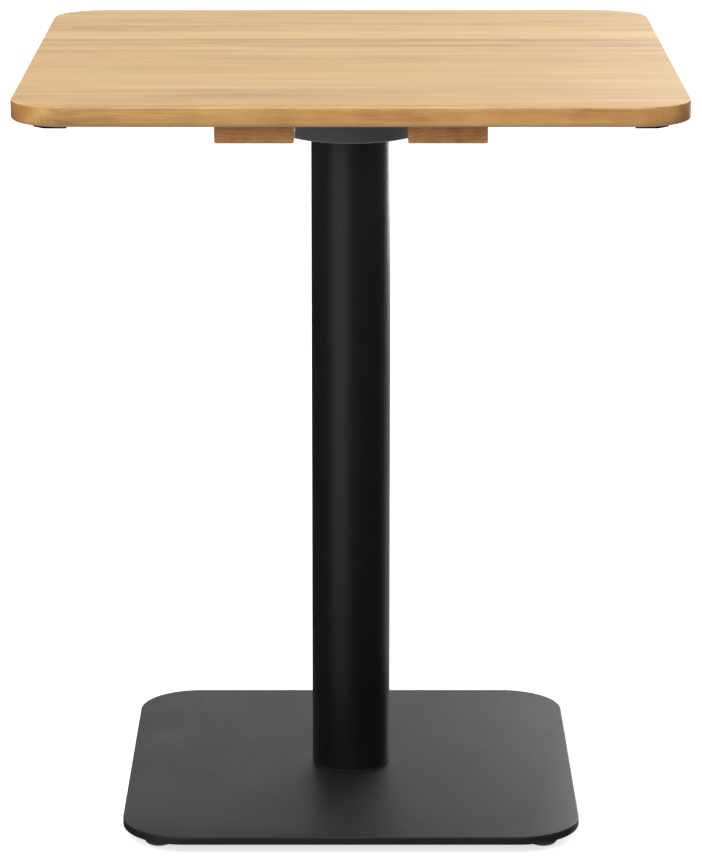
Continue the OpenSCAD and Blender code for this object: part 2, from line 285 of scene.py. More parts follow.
class Surface:
    """A material with short ways to add nodes. Lengths are in millimetres of the object's own space."""

    def __init__(self, name):
        self.material = bpy.data.materials.new(name)
        self.material.use_nodes = True
        self.tree = self.material.node_tree
        self.shader = self.tree.nodes["Principled BSDF"]
        coordinates = self.node("ShaderNodeTexCoord")
        self.normal = coordinates.outputs["Normal"]
        self.place = self.vector_math("SCALE", coordinates.outputs["Object"], scale=1 / MM)

    def node(self, kind, inputs=None, **settings):
        made_node = self.tree.nodes.new(kind)
        for key, value in settings.items():
            setattr(made_node, key, value)
        for key, value in (inputs or {}).items():
            self.feed(made_node.inputs[key], value)
        return made_node

    def feed(self, socket, value):
        if isinstance(value, bpy.types.NodeSocket):
            self.tree.links.new(value, socket)
        else:
            socket.default_value = value

    def math(self, operation, *values, clamp=False):
        return self.node(
            "ShaderNodeMath", dict(enumerate(values)), operation=operation, use_clamp=clamp
        ).outputs[0]

    def vector_math(self, operation, *values, scale=None):
        inputs = dict(enumerate(values))
        if scale is not None:
            inputs["Scale"] = scale
        return self.node("ShaderNodeVectorMath", inputs, operation=operation).outputs["Vector"]

    def split(self, vector):
        return self.node("ShaderNodeSeparateXYZ", {0: vector}).outputs[:3]

    def joined(self, x, y, z):
        return self.node("ShaderNodeCombineXYZ", {0: x, 1: y, 2: z}).outputs[0]

    def attribute(self, name):
        return self.split(self.node("ShaderNodeAttribute", attribute_name=name).outputs["Vector"])

    def noise(self, vector, scale, detail=3.0, roughness=0.55):
        """Noise from 0 to 1. The scale is in cycles per millimetre."""
        return self.node(
            "ShaderNodeTexNoise",
            {"Vector": vector, "Scale": scale, "Detail": detail, "Roughness": roughness},
        ).outputs[0]

    def remap(self, value, low, high, to_low=0.0, to_high=1.0, smooth=True):
        return self.node(
            "ShaderNodeMapRange",
            {"Value": value, "From Min": low, "From Max": high, "To Min": to_low, "To Max": to_high},
            interpolation_type="SMOOTHSTEP" if smooth else "LINEAR",
        ).outputs[0]

    def ramp(self, value, stops):
        ramp_node = self.node("ShaderNodeValToRGB", {0: value})
        elements = ramp_node.color_ramp.elements
        while len(elements) < len(stops):
            elements.new(0.5)
        for element, (position, colour) in zip(elements, stops):
            element.position = position
            element.color = (*colour, 1.0)
        return ramp_node.outputs[0]

    def mix(self, share, one, other, blend="MIX"):
        mixer = self.node("ShaderNodeMix", data_type="RGBA", blend_type=blend)
        self.feed(mixer.inputs["Factor"], share)
        for socket, value in ((mixer.inputs[6], one), (mixer.inputs[7], other)):
            self.feed(socket, value if isinstance(value, bpy.types.NodeSocket) else (*value, 1.0))
        return mixer.outputs[2]

    def edges(self):
        """1 where a horizontal edge is rounded, and 0 on flat and upright faces."""
        up = self.split(self.normal)[2]
        square = self.math("MULTIPLY", up, up)
        across = self.math("SUBTRACT", 1.0, square)
        return self.math("MULTIPLY", self.math("MULTIPLY", square, across), 4.0, clamp=True)

    def relief(self, height, depth_mm):
        bump = self.node("ShaderNodeBump", {"Height": height, "Distance": depth_mm * MM})
        self.feed(self.shader.inputs["Normal"], bump.outputs[0])

    def set(self, **values):
        for key, value in values.items():
            self.feed(self.shader.inputs[key.replace("_", " ").title().replace("Ior", "IOR")], value)


# From the darkest late wood to the palest early wood
WOOD_TONES = [
    (0.00, (0.205, 0.081, 0.018)),
    (0.25, (0.361, 0.178, 0.039)),
    (0.50, (0.500, 0.292, 0.079)),
    (0.75, (0.588, 0.382, 0.132)),
    (1.00, (0.664, 0.474, 0.205)),
]
MIDDLE_TONE = 0.505
FLECK_COLOUR = (0.30, 0.115, 0.045)
REDDISH = (0.50, 0.245, 0.105)
YELLOWISH = (0.52, 0.335, 0.080)
# A painted reflection of a pale floor, laid on the lower rounded edges of the wood
LOW_EDGE_PAINTED_REFLECTION = (0.58, 0.42, 0.275)
SIDE_TINT = (0.97, 0.88, 0.90)
RING_SPACING = 3.4

# How far apart along the grain two pieces are cut from the same noise
SEED_STEP = 97.0


class Wood(Surface):
    """Hardwood whose rings run along X or Y. Each piece brings its own looks.

    wood_place is (seed, pith across, pith up) and wood_looks is (tone, figure, flecks).
    """

    def __init__(self, name, along):
        super().__init__(name)
        x, y, self.z = self.split(self.place)
        u, self.v = (x, y) if along == "X" else (y, x)
        self.seed, self.pith_v, self.pith_z = self.attribute("wood_place")
        self.tone, self.figure, self.flecks = self.attribute("wood_looks")
        self.u = self.math("ADD", u, self.math("MULTIPLY", self.seed, SEED_STEP))
        facing = self.split(self.normal)
        self.up = facing[2]
        self.end_grain = self.remap(self.math("ABSOLUTE", facing[0 if along == "X" else 1]), 0.60, 0.82)
        self.upright = self.remap(self.math("ABSOLUTE", self.up), 0.90, 0.55)

    def stretched(self, along_scale, across_scale, up_scale):
        """The place, in cycles of a noise that has its own scale in each direction."""
        return self.joined(
            self.math("MULTIPLY", self.u, along_scale),
            self.math("MULTIPLY", self.v, across_scale),
            self.math("MULTIPLY", self.z, up_scale),
        )

    def grain(self, along_scale, across_scale, offset, detail=3.0, roughness=0.55):
        """Noise drawn out along the grain. The offset sets it apart from piece to piece."""
        place = self.joined(
            self.math("MULTIPLY", self.u, along_scale),
            self.math("MULTIPLY_ADD", self.v, across_scale, self.math("MULTIPLY", self.seed, offset)),
            self.math("MULTIPLY", self.z, across_scale),
        )
        return self.noise(place, 1.0, detail, roughness)

    def clouds(self):
        """Large soft patches, the same through a board's whole thickness."""
        along = self.math("MULTIPLY", self.u, 1 / 70)
        across = self.math("MULTIPLY", self.v, 1 / 40)
        return self.noise(self.joined(along, across, self.seed), 1.0, 3.0)

    def ring(self):
        """The place within a growth ring, from 0 where it begins to 1 where it ends."""
        wander_v = self.math("MULTIPLY_ADD", self.grain(1 / 260, 1 / 90, 3.1, 2.0), 26.0, -13.0)
        wander_z = self.math("MULTIPLY_ADD", self.grain(1 / 330, 1 / 90, 7.7, 2.0), 18.0, -9.0)
        from_v = self.math("SUBTRACT", self.math("ADD", self.v, wander_v), self.pith_v)
        from_z = self.math("SUBTRACT", self.math("ADD", self.z, wander_z), self.pith_z)
        square_v = self.math("MULTIPLY", from_v, from_v)
        square_z = self.math("MULTIPLY", from_z, from_z)
        radius = self.math("SQRT", self.math("ADD", square_v, square_z))
        even_rings = self.math("DIVIDE", radius, RING_SPACING)
        rings = self.math("MULTIPLY_ADD", self.grain(1 / 150, 1 / 14, 1.3), 1.1, even_rings)
        return self.math("FRACT", rings)

    def pores(self, ring):
        """Short dark pores, fainter towards the end of each ring."""
        place = self.stretched(1 / 7, 1.15, 1.15)
        cells = self.node("ShaderNodeTexVoronoi", {"Vector": place, "Scale": 1.0})
        dots = self.remap(cells.outputs["Distance"], 0.26, 0.12)
        return self.math("MULTIPLY", dots, self.remap(ring, 0.75, 0.1, 0.25, 1.0))

    def varied(self, value, noise, depth):
        """A value with a noise round 0.5 laid over it."""
        return self.math("MULTIPLY_ADD", self.math("SUBTRACT", noise, 0.5), depth, value)

    def tinted(self, colour, other, stripes, full_at, most):
        """A colour mixed with another one where a noise is high."""
        return self.mix(self.remap(stripes, 0.45, full_at, 0.0, most), colour, other)


def wood(name, along, roughness, end_tone, end_tint):
    """Oiled hardwood: tones of the rings and the grain with a painted highlight along the upper edges, then
    tints and a painted reflection along the lower edges, then gloss and relief.
    """
    s = Wood(name, along)
    ring = s.ring()
    late = s.math("MULTIPLY", s.remap(ring, 0.35, 0.93), s.remap(ring, 1.0, 0.95))
    late_share = s.remap(s.grain(1 / 120, 1 / 9, 5.9, 2.0), 0.38, 0.68)
    pore = s.pores(ring)
    clouds = s.clouds()
    fibres = s.grain(1 / 45, 1.7, 4.1, 4.0, 0.65)
    crest = s.math("MULTIPLY", s.remap(s.up, 0.998, 0.96), s.remap(s.up, 0.70, 0.88))
    # The lower rounded edges, which face down, where the painted reflection goes
    low_edge_reflection = s.math("MULTIPLY", s.remap(s.up, -0.15, -0.80), s.remap(s.up, -0.995, -0.95))

    value = s.math("ADD", s.tone, MIDDLE_TONE)
    value = s.varied(value, s.grain(1 / 420, 1 / 26, 6.1, 2.0), s.math("MULTIPLY", s.figure, 0.55))
    value = s.varied(value, s.grain(1 / 240, 1 / 11, 2.3, 4.0, 0.6), s.math("MULTIPLY", s.figure, 0.78))
    value = s.varied(value, clouds, s.math("MULTIPLY_ADD", s.upright, 0.22, 0.18))
    value = s.varied(value, fibres, s.math("MULTIPLY_ADD", s.upright, 0.22, 0.36))
    value = s.varied(value, s.grain(1 / 14, 5.5, 8.3, 2.0), 0.20)
    blotches = s.noise(s.stretched(1 / 24, 1 / 12, 1 / 10), 1.0, 3.0)
    value = s.varied(value, blotches, s.math("MULTIPLY", s.upright, 0.36))
    ring_depth = s.math("MULTIPLY", s.figure, -0.16)
    value = s.math("MULTIPLY_ADD", s.math("MULTIPLY", late, late_share), ring_depth, value)
    value = s.math("MULTIPLY_ADD", pore, -0.12, value)
    value = s.math("MULTIPLY_ADD", s.end_grain, end_tone, value)
    value = s.math("MULTIPLY_ADD", s.math("MULTIPLY", s.end_grain, late), -0.14, value)
    # Paler wood along the upper rounded edges: partly wear, partly a painted highlight.
    crest_highlight_and_wear = s.math("MULTIPLY", crest, s.remap(clouds, 0.3, 0.6, 0.6, 1.0))
    value = s.math("MULTIPLY_ADD", crest_highlight_and_wear, 0.30, value)

    colour = s.ramp(value, WOOD_TONES)
    fleck = s.math("MULTIPLY", s.remap(s.grain(1 / 26, 1 / 5, 6.7, 3.0), 0.62, 0.74), s.flecks)
    colour = s.mix(fleck, colour, FLECK_COLOUR)
    colour = s.tinted(colour, REDDISH, s.grain(1 / 170, 1 / 22, 9.1, 2.0), 0.75, 0.22)
    colour = s.tinted(colour, YELLOWISH, s.grain(1 / 120, 1 / 30, 11.7, 2.0), 0.70, 0.35)
    colour = s.mix(s.upright, colour, SIDE_TINT, "MULTIPLY")
    colour = s.mix(s.end_grain, colour, end_tint, "MULTIPLY")
    # Painted reflection of a pale floor on the lower rounded edges
    colour = s.mix(s.math("MULTIPLY", low_edge_reflection, 0.8), colour, LOW_EDGE_PAINTED_REFLECTION)

    rough = s.math("MULTIPLY_ADD", fibres, 0.14, roughness)
    rough = s.math("MULTIPLY_ADD", crest, -0.09, rough)
    rough = s.math("MULTIPLY_ADD", pore, 0.12, rough)
    rough = s.math("MULTIPLY_ADD", s.end_grain, 0.14, rough)
    height = s.math("MULTIPLY_ADD", fibres, 0.5, s.math("MULTIPLY", pore, -1.0))
    height = s.math("MULTIPLY_ADD", late, 0.25, height)
    s.set(base_color=colour, roughness=rough, specular_ior_level=0.75)
    s.relief(height, depth_mm=0.05)
    return s.material


def powder_coat(name, colour, worn_colour, roughness, specular, peel_mm=0.55, sheen=0.0):
    """Fine-textured powder coat: orange peel, faint clouds, and a polish along the edges."""
    s = Surface(name)
    peel = s.noise(s.place, 1 / peel_mm, 2.0, 0.6)
    grit = s.noise(s.place, 3.2, 1.0)
    clouds = s.noise(s.place, 1 / 70, 4.0, 0.6)
    rubbed = s.remap(s.noise(s.place, 1 / 16, 5.0, 0.7), 0.55, 0.72)
    edge = s.math("MULTIPLY", s.edges(), s.remap(s.noise(s.place, 1 / 9, 3.0), 0.35, 0.7))
    specks = s.remap(s.noise(s.place, 1 / 1.4, 1.0), 0.70, 0.78)
    shade = s.mix(s.math("MULTIPLY", clouds, 0.5), colour, worn_colour)
    shade = s.mix(s.math("MULTIPLY", specks, 0.25), shade, worn_colour)
    shade = s.mix(s.math("MULTIPLY", edge, 0.7), shade, worn_colour)
    rough = s.math("MULTIPLY_ADD", s.math("SUBTRACT", clouds, 0.5), 0.14, roughness)
    rough = s.math("MULTIPLY_ADD", rubbed, -0.05, rough)
    rough = s.math("MULTIPLY_ADD", edge, -0.12, rough)
    s.set(base_color=shade, roughness=rough, specular_ior_level=specular, sheen_weight=sheen)
    s.relief(s.math("MULTIPLY_ADD", grit, 0.35, peel), depth_mm=0.04)
    return s.material


NICK_COLOUR = (0.25, 0.25, 0.25)


def plated_metal(name, colour, stain, roughness):
    """Plated or turned metal: fine level lines round it, stains and small nicks."""
    s = Surface(name)
    x, y, z = s.split(s.place)
    line_place = s.joined(s.math("MULTIPLY", x, 0.4), s.math("MULTIPLY", y, 0.4), s.math("MULTIPLY", z, 7.0))
    lines = s.noise(line_place, 1.0, 3.0)
    clouds = s.noise(s.place, 1 / 6, 4.0, 0.6)
    nicks = s.remap(s.noise(s.place, 1 / 0.9, 2.0), 0.66, 0.74)
    shade = s.mix(s.remap(clouds, 0.35, 0.75, 0.0, 0.6), colour, stain)
    shade = s.mix(s.math("MULTIPLY", nicks, 0.3), shade, NICK_COLOUR)
    rough = s.math("MULTIPLY_ADD", lines, 0.16, roughness)
    rough = s.math("MULTIPLY_ADD", clouds, 0.12, rough)
    s.set(base_color=shade, metallic=1.0, roughness=rough)
    s.relief(s.math("MULTIPLY_ADD", nicks, -0.7, lines), depth_mm=0.015)
    return s.material


def moulded(name, colour, worn_colour, roughness, grain_mm, depth_mm, specular=0.5):
    """Moulded plastic or rubber: a fine grained skin, dull clouds and rubbed edges."""
    s = Surface(name)
    skin = s.noise(s.place, 1 / grain_mm, 2.0, 0.6)
    clouds = s.noise(s.place, 1 / 9, 4.0, 0.6)
    scuffs = s.remap(s.noise(s.place, 1 / 2.5, 4.0, 0.7), 0.58, 0.72)
    edge = s.math("MULTIPLY", s.edges(), s.remap(clouds, 0.35, 0.7))
    shade = s.mix(s.math("MULTIPLY", clouds, 0.5), colour, worn_colour)
    shade = s.mix(s.math("MULTIPLY", s.math("MAXIMUM", edge, scuffs), 0.4), shade, worn_colour)
    rough = s.math("MULTIPLY_ADD", s.math("SUBTRACT", skin, 0.5), 0.2, roughness)
    rough = s.math("MULTIPLY_ADD", scuffs, 0.08, rough)
    s.set(base_color=shade, roughness=rough, specular_ior_level=specular)
    s.relief(skin, depth_mm)
    return s.material


top_wood = wood("top_wood", "X", roughness=0.36, end_tone=-0.10, end_tint=(0.88, 0.72, 0.68))
batten_wood = wood("batten_wood", "Y", roughness=0.46, end_tone=0.09, end_tint=(1.0, 0.80, 0.76))
black_coat = powder_coat(
    "black_coat", (0.0008, 0.0008, 0.0009), (0.003, 0.003, 0.0031), roughness=0.40, specular=0.34
)
charcoal_coat = powder_coat(
    "charcoal_coat", (0.006, 0.006, 0.0061), (0.012, 0.012, 0.0122), roughness=0.46, specular=0.235
)
grey_coat = powder_coat(
    "grey_coat", (0.083, 0.084, 0.086), (0.135, 0.137, 0.140),
    roughness=0.60, specular=0.40, peel_mm=0.9, sheen=1.0,
)
zinc_steel = plated_metal("zinc_steel", (0.62, 0.63, 0.64), (0.52, 0.51, 0.46), roughness=0.24)
insert_brass = plated_metal("insert_brass", (0.66, 0.46, 0.17), (0.42, 0.27, 0.09), roughness=0.28)
black_rubber = moulded(
    "black_rubber", (0.006, 0.006, 0.006), (0.018, 0.018, 0.018),
    roughness=0.75, grain_mm=0.5, depth_mm=0.04, specular=0.12,
)
black_nylon = moulded(
    "black_nylon", (0.012, 0.012, 0.012), (0.045, 0.045, 0.045), roughness=0.42, grain_mm=0.35, depth_mm=0.02
)
grey_nylon = moulded(
    "grey_nylon", (0.16, 0.16, 0.16), (0.28, 0.28, 0.275), roughness=0.5, grain_mm=0.35, depth_mm=0.02
)

# ---- Tabletop ----

BOARD_COUNT = sum(1 for n in TABLE_NODES if n.startswith("top_board_"))
front_low, front_high = box_mm("top_board_1")
TOP_HALF = -front_low.x
TOP_CORNER_R = front_high.y - front_low.y
TOP_EASE = 1.5
TOP_LOW_EASE = 3.5
TOP_CORNER_STEPS = 24

# The small chamfer along the glued sides of each board, and along the battens' upper edges
SEAM_EASE = 0.15

# Each board's looks: (tone, figure, flecks, pith across from its middle, pith below its middle)
BOARD_LOOKS = [
    (-0.05, 0.8, 0.10, 180, 4),
    (-0.05, 1.1, 0.25, -30, 60),
    (0.03, 0.8, 0.0, 14, 90),
    (0.02, 0.6, 0.0, -22, 55),
    (0.0, 0.7, 0.0, 40, 70),
    (-0.04, 0.9, 0.0, -12, 120),
    (0.01, 1.1, 0.0, 26, 44),
    (-0.12, 1.0, 0.30, -36, 60),
    (0.15, 0.5, 0.0, 10, 140),
    (-0.02, 1.1, 0.65, -18, 50),
    (0.0, 0.9, 0.10, 30, 80),
    (-0.02, 0.9, 0.0, -180, 4),
]


def inner_board(low, high):
    """A board with two glued sides along X and two eased ends."""
    rings = []
    for inset, z in eased_levels(low.z, high.z, TOP_LOW_EASE, TOP_EASE):
        seam = max(0.0, SEAM_EASE - min(z - low.z, high.z - z))
        outline = rectangle(TOP_HALF - inset, (high.y - low.y) / 2 - seam, 0, (low.y + high.y) / 2)
        rings.append([(*p, z) for p in outline])
    return stacked(rings)


def outer_board(low, high, side):
    """The front or back board: one glued side, and an eased rim with two round corners."""
    reach = TOP_HALF - TOP_CORNER_R
    rings = []
    for inset, z in eased_levels(low.z, high.z, TOP_LOW_EASE, TOP_EASE):
        seam = max(0.0, SEAM_EASE - min(z - low.z, high.z - z))
        radius = TOP_CORNER_R - inset
        start = math.degrees(math.asin(seam / radius))
        rim = arc(-reach, -reach, radius, 180 + start, 270, TOP_CORNER_STEPS)
        rim += arc(reach, -reach, radius, 270, 360 - start, TOP_CORNER_STEPS)
        ring = [(x, y, z) for x, y in rim]
        if side > 0:
            ring = [(x, -y, z) for x, y, z in reversed(ring)]
        rings.append(ring)
    return stacked(rings)


for number, (tone, figure, flecks, pith_across, pith_below) in enumerate(BOARD_LOOKS, 1):
    node = f"top_board_{number}"
    low, high = box_mm(node)
    if number in (1, BOARD_COUNT):
        shape = outer_board(low, high, -1 if number == 1 else 1)
    else:
        shape = inner_board(low, high)
    pith = ((low.y + high.y) / 2 + pith_across, (low.z + high.z) / 2 - pith_below)
    looks = {"wood_place": (number, *pith), "wood_looks": (tone, figure, flecks)}
    piece(f"board_{number}", shape, top_wood, "top_wood", "table", node, looks=looks)

# ---- Battens ----

BATTEN_EASE = 2.0
BATTEN_CORNER_R = 1.2
BATTEN_LOOKS = (0.02, 0.9, 0.3)

# Each batten's seed, and its pith across from its middle. The pith lies far below both.
BATTEN_PLACES = {"left": (20, -12), "right": (23, 16)}
PITH_BELOW_BATTEN = 420
for side, (seed, pith_across) in BATTEN_PLACES.items():
    low, high = box_mm(f"batten_{side}")
    middle, half = (low + high) / 2, (high - low) / 2
    outline = rectangle(half.x, half.y, middle.x, middle.y)
    shape = slab(outline, BATTEN_CORNER_R, low.z, high.z, BATTEN_EASE, SEAM_EASE)
    looks = {
        "wood_place": (seed, middle.x + pith_across, low.z - PITH_BELOW_BATTEN),
        "wood_looks": BATTEN_LOOKS,
    }
    piece(f"batten_{side}_wood", shape, batten_wood, "batten_wood", "table", f"batten_{side}", looks=looks)

# ---- Column and gasket ----

COLUMN_WALL = 2.0
COLUMN_EASE = 0.4
GASKET_EASE = 0.6
low, high = box_mm("column_tube")
COLUMN_R = high.x
piece(
    "column", pipe(COLUMN_R, COLUMN_R - COLUMN_WALL, low.z, high.z, COLUMN_EASE),
    black_coat, "black_coat", "table", "column_tube",
)
low, high = box_mm("column_gasket")
piece(
    "gasket", pipe(high.x, COLUMN_R - COLUMN_WALL, low.z, high.z, GASKET_EASE),
    black_rubber, "black_rubber", "table", "column_gasket",
)

# ---- Base plate ----

BASE_CORNER_R = 60.0
BASE_EASE = 1.0
ROD_HOLE_R = 5.3
BUSH_R = 7.0
BUSH_DEPTH = 6.5
foot_low, foot_high = box_mm("glide_foot_back_right")
GLIDE_X = (foot_low.x + foot_high.x) / 2
low, high = box_mm("base_plate")
base_low_z = low.z
shape = slab(
    rectangle(high.x, high.y), BASE_CORNER_R, low.z, high.z, BASE_EASE, BASE_EASE, corner_steps=32
)
bush_hole = pin(BUSH_R, low.z - PAST, low.z + BUSH_DEPTH)
holes = [placed(bush_hole, sx * GLIDE_X, sy * GLIDE_X) for sx, sy in CORNERS.values()]
holes.append(pin(ROD_HOLE_R, low.z - PAST, high.z + PAST))
piece("base", cut(shape, *holes), charcoal_coat, "charcoal_coat", "table", "base_plate")

# ---- Collar ----

low, high = box_mm("collar")
COLLAR_WALL = 5.0
COLLAR_WEB = 6.0
COLLAR_EASE = 2.0
COLLAR_PLAY = 0.15
BORE_CHAMFER = 0.6
RIM_CHAMFER = 0.3
COLLAR_BORE_R = COLUMN_R + COLLAR_PLAY
collar_r = high.x
sleeve_r = COLLAR_BORE_R + COLLAR_WALL
inside_r = collar_r - COLLAR_WALL
profile = [(COLLAR_BORE_R, low.z + BORE_CHAMFER), (COLLAR_BORE_R + BORE_CHAMFER, low.z)]
profile += arc(collar_r - COLLAR_EASE, low.z + COLLAR_EASE, COLLAR_EASE, -90, 0, 8)
profile += [(collar_r, high.z - RIM_CHAMFER), (collar_r - RIM_CHAMFER, high.z), (inside_r, high.z)]
profile += [(inside_r, low.z + COLLAR_WEB), (sleeve_r, low.z + COLLAR_WEB)]
profile += [(sleeve_r, high.z), (COLLAR_BORE_R, high.z)]
piece("collar_casting", lathe(profile, FINE), grey_coat, "grey_coat", "table", "collar")

# ---- Mounting plate and its fasteners ----

PLATE_CORNER_R = 15.0
PLATE_EASE = 0.5
BOLT_HOLE_R = 3.3
BOLT_R = 3.0
WASHER_R = 9.0
WASHER_EASE = 0.25
low, high = box_mm("mounting_plate")
plate_high_z = high.z
washer_low, washer_high = box_mm("plate_washers")
bolt_x = washer_high.x - WASHER_R
bolt_y = washer_high.y - WASHER_R
BOLT_PLACES = [(sx * bolt_x, sy * bolt_y) for sx in (-1, 1) for sy in (-1, 0, 1)]

shape = slab(
    rectangle(high.x, high.y), PLATE_CORNER_R, low.z, high.z, PLATE_EASE, PLATE_EASE,
    corner_steps=16, edge_steps=3,
)
bolt_hole = pin(BOLT_HOLE_R, low.z - PAST, high.z + PAST)
holes = [placed(bolt_hole, x, y) for x, y in BOLT_PLACES]
holes.append(pin(ROD_HOLE_R, low.z - PAST, high.z + PAST))
piece("plate", cut(shape, *holes), black_coat, "black_coat", "table", "mounting_plate")

washer = pipe(WASHER_R, BOLT_HOLE_R, washer_low.z, washer_high.z, WASHER_EASE)
piece(
    "bolt_washers", merged(*[placed(washer, x, y) for x, y in BOLT_PLACES]),
    zinc_steel, "zinc_steel", "table", "plate_washers",
)

# ---- Button-head bolts ----

HEAD_R = 1.75 * BOLT_R
HEAD_H = 1.1 * BOLT_R
HEAD_FLAT_R = 2.9
HEAD_CHAMFER = 0.15
DOME_STEPS = 12
BOLT_NECK = 2.0
BOLT_CHAMFER = 0.5
BOLT_PITCH = 1.0
BOLT_MINOR_R = BOLT_R - 0.55
SOCKET_AF = 4.0
SOCKET_DEPTH = 2.2
bolt_low, bolt_high = box_mm("plate_bolts")


def button_bolt():
    """A bolt with its button head downwards and a hexagon socket.

    The head's dome would reach down to 0, and the flat round the socket cuts it off.
    """
    dome_r = (HEAD_R ** 2 + HEAD_H ** 2) / (2 * HEAD_H)

    def dome_point(radius):
        return radius, dome_r - math.sqrt(dome_r ** 2 - radius ** 2)

    radii = [HEAD_R * i / DOME_STEPS for i in range(DOME_STEPS)]
    dome = [dome_point(radius) for radius in radii if radius > HEAD_FLAT_R]
    flat = dome_point(HEAD_FLAT_R)
    neck_z = HEAD_H + BOLT_NECK
    profile = [(0, flat[1]), flat] + dome
    profile += [(HEAD_R, HEAD_H - HEAD_CHAMFER), (HEAD_R - HEAD_CHAMFER, HEAD_H)]
    profile += [(BOLT_R, HEAD_H), (BOLT_R, neck_z), (0, neck_z)]
    head = lathe(profile, SMALL)
    socket_ends = (-PAST, SOCKET_DEPTH)
    socket = stacked([convex_ring(hexagon(SOCKET_AF), 0, SMALLEST_R, z, 1) for z in socket_ends])
    thread_length = bolt_high.z - bolt_low.z - neck_z
    thread = threaded_bar(BOLT_R, BOLT_MINOR_R, BOLT_PITCH, 0, thread_length, BOLT_CHAMFER)
    return merged(cut(head, socket), placed(thread, z=neck_z))


# How far each bolt stands turned from the one before it, in degrees
BOLT_TURN = 17
bolt = button_bolt()
bolts = [placed(bolt, x, y, bolt_low.z, BOLT_TURN * i) for i, (x, y) in enumerate(BOLT_PLACES)]
piece("button_bolts", merged(*bolts), zinc_steel, "zinc_steel", "table", "plate_bolts")

# ---- Tie rod ----

ROD_R = 5.0
ROD_MINOR_R = 4.15
ROD_PITCH = 1.5
ROD_THREAD = 30.0
ROD_CHAMFER = 0.8
NUT_AF = 16.0
NUT_PLAY = 0.02
NUT_MOUTH = 0.4
NUT_SMOOTH_UNDER = 20
rod_low, rod_high = box_mm("tie_rod")


def hex_nut(node):
    """A hexagonal nut with chamfered corners and a chamfered bore, in the place of a CAD node."""
    low_z, high_z = (corner.z for corner in box_mm(node))
    corner_r = NUT_AF / math.sqrt(3)
    prism = stacked([[(*p, z) for p in hexagon(NUT_AF)] for z in (low_z, high_z)])

    # The cone's two ends rise one in two, which bevels the corners of the prism.
    cap = (corner_r - NUT_AF / 2) / 2
    cone = lathe([
        (0, low_z), (NUT_AF / 2, low_z), (corner_r + cap, low_z + 1.5 * cap),
        (corner_r + cap, high_z - 1.5 * cap), (NUT_AF / 2, high_z), (0, high_z),
    ], FINE)
    bore_r, mouth_r = ROD_R + NUT_PLAY, ROD_R + NUT_MOUTH + PAST
    bore = lathe([
        (0, low_z - PAST), (mouth_r, low_z - PAST), (bore_r, low_z + NUT_MOUTH),
        (bore_r, high_z - NUT_MOUTH), (mouth_r, high_z + PAST), (0, high_z + PAST),
    ], SMALL)
    return cut(boolean(prism, cone, "INTERSECT"), bore)


low_thread_z, high_thread_z = rod_low.z + ROD_THREAD, rod_high.z - ROD_THREAD
rod = merged(
    threaded_bar(ROD_R, ROD_MINOR_R, ROD_PITCH, rod_low.z, low_thread_z, ROD_CHAMFER),
    pin(ROD_R, low_thread_z, high_thread_z, TINY),
    threaded_bar(ROD_R, ROD_MINOR_R, ROD_PITCH, high_thread_z, rod_high.z, ROD_CHAMFER),
)
piece("threaded_rod", rod, zinc_steel, "zinc_steel", "table", "tie_rod")
piece(
    "lower_nut", hex_nut("rod_nut_lower"),
    zinc_steel, "zinc_steel", "table", "rod_nut_lower", smooth_under=NUT_SMOOTH_UNDER,
)
piece(
    "upper_nut", hex_nut("rod_nut_upper"),
    zinc_steel, "zinc_steel", "table", "rod_nut_upper", smooth_under=NUT_SMOOTH_UNDER,
)
ROD_WASHER_T = 2.5
ROD_WASHER_EASE = 0.35
low, high = box_mm("rod_washers")
rod_washers = [
    pipe(high.x, ROD_HOLE_R, z, z + ROD_WASHER_T, ROD_WASHER_EASE)
    for z in (base_low_z - ROD_WASHER_T, plate_high_z)
]
piece("big_washers", merged(*rod_washers), zinc_steel, "zinc_steel", "table", "rod_washers")

# ---- Corner pads and wood screws ----

PAD_CUT = 10.0
PAD_EASE = 0.6
PAD_TOP_EASE = 0.1
PAD_SIDE = 30.0
PAD_CORNER_R = 1.5
PAD_SCREW_X = 8.0
PAD_HOLE_R = 1.55
PAD_SINK_R = 3.1
PAD_SINK_WALL = 0.1
PAD_HOLE_DEPTH = 1.3
low, high = box_mm("corner_pads")
pad_far = high.x
pad_near = pad_far - PAD_SIDE

# The bevel round the face of a countersunk head
HEAD_EDGE = 0.1


def screw_head(radius, head_r, top_z, span, slot, depth):
    """A countersunk screw with its head downwards and a plain shank up to a height.

    The cross recess has a span, a slot width and a depth.
    """
    screw = lathe([
        (0, 0), (head_r - HEAD_EDGE, 0), (head_r, HEAD_EDGE),
        (radius, head_r - radius), (radius, top_z), (0, top_z),
    ], TINY)
    mouth, end = rectangle(span / 2, slot / 2), rectangle(span / 5, slot / 4)
    blade = stacked([
        convex_ring(outline, 0, SMALLEST_R, z, 2)
        for outline, z in ((mouth, -PAST), (mouth, 0), (end, depth))
    ])
    for turn in (0, 90):
        screw = cut(screw, placed(blade, turn=turn))
    return screw


pad_outline = [
    (pad_near, pad_near),
    (pad_far, pad_near),
    (pad_far, pad_far - PAD_CUT),
    (pad_far - PAD_CUT, pad_far),
    (pad_near, pad_far),
]
pad_middle = (pad_near + pad_far) / 2
pad_screws = [(pad_middle + s * PAD_SCREW_X, pad_middle - s * PAD_SCREW_X) for s in (-1, 1)]
pad_hole = lathe([
    (0, low.z - PAST), (PAD_SINK_R, low.z - PAST), (PAD_SINK_R, low.z + PAD_SINK_WALL),
    (PAD_HOLE_R, high.z - PAD_HOLE_DEPTH), (PAD_HOLE_R, high.z + PAST), (0, high.z + PAST),
], TINY)
pad = slab(
    pad_outline, PAD_CORNER_R, low.z, high.z, PAD_EASE, PAD_TOP_EASE, corner_steps=6, edge_steps=3
)
pad = cut(pad, *[placed(pad_hole, x, y) for x, y in pad_screws])
piece(
    "rubber_pads", merged(*[mirrored(pad, sx, sy) for sx in (-1, 1) for sy in (-1, 1)]),
    black_rubber, "black_rubber", "table", "corner_pads",
)

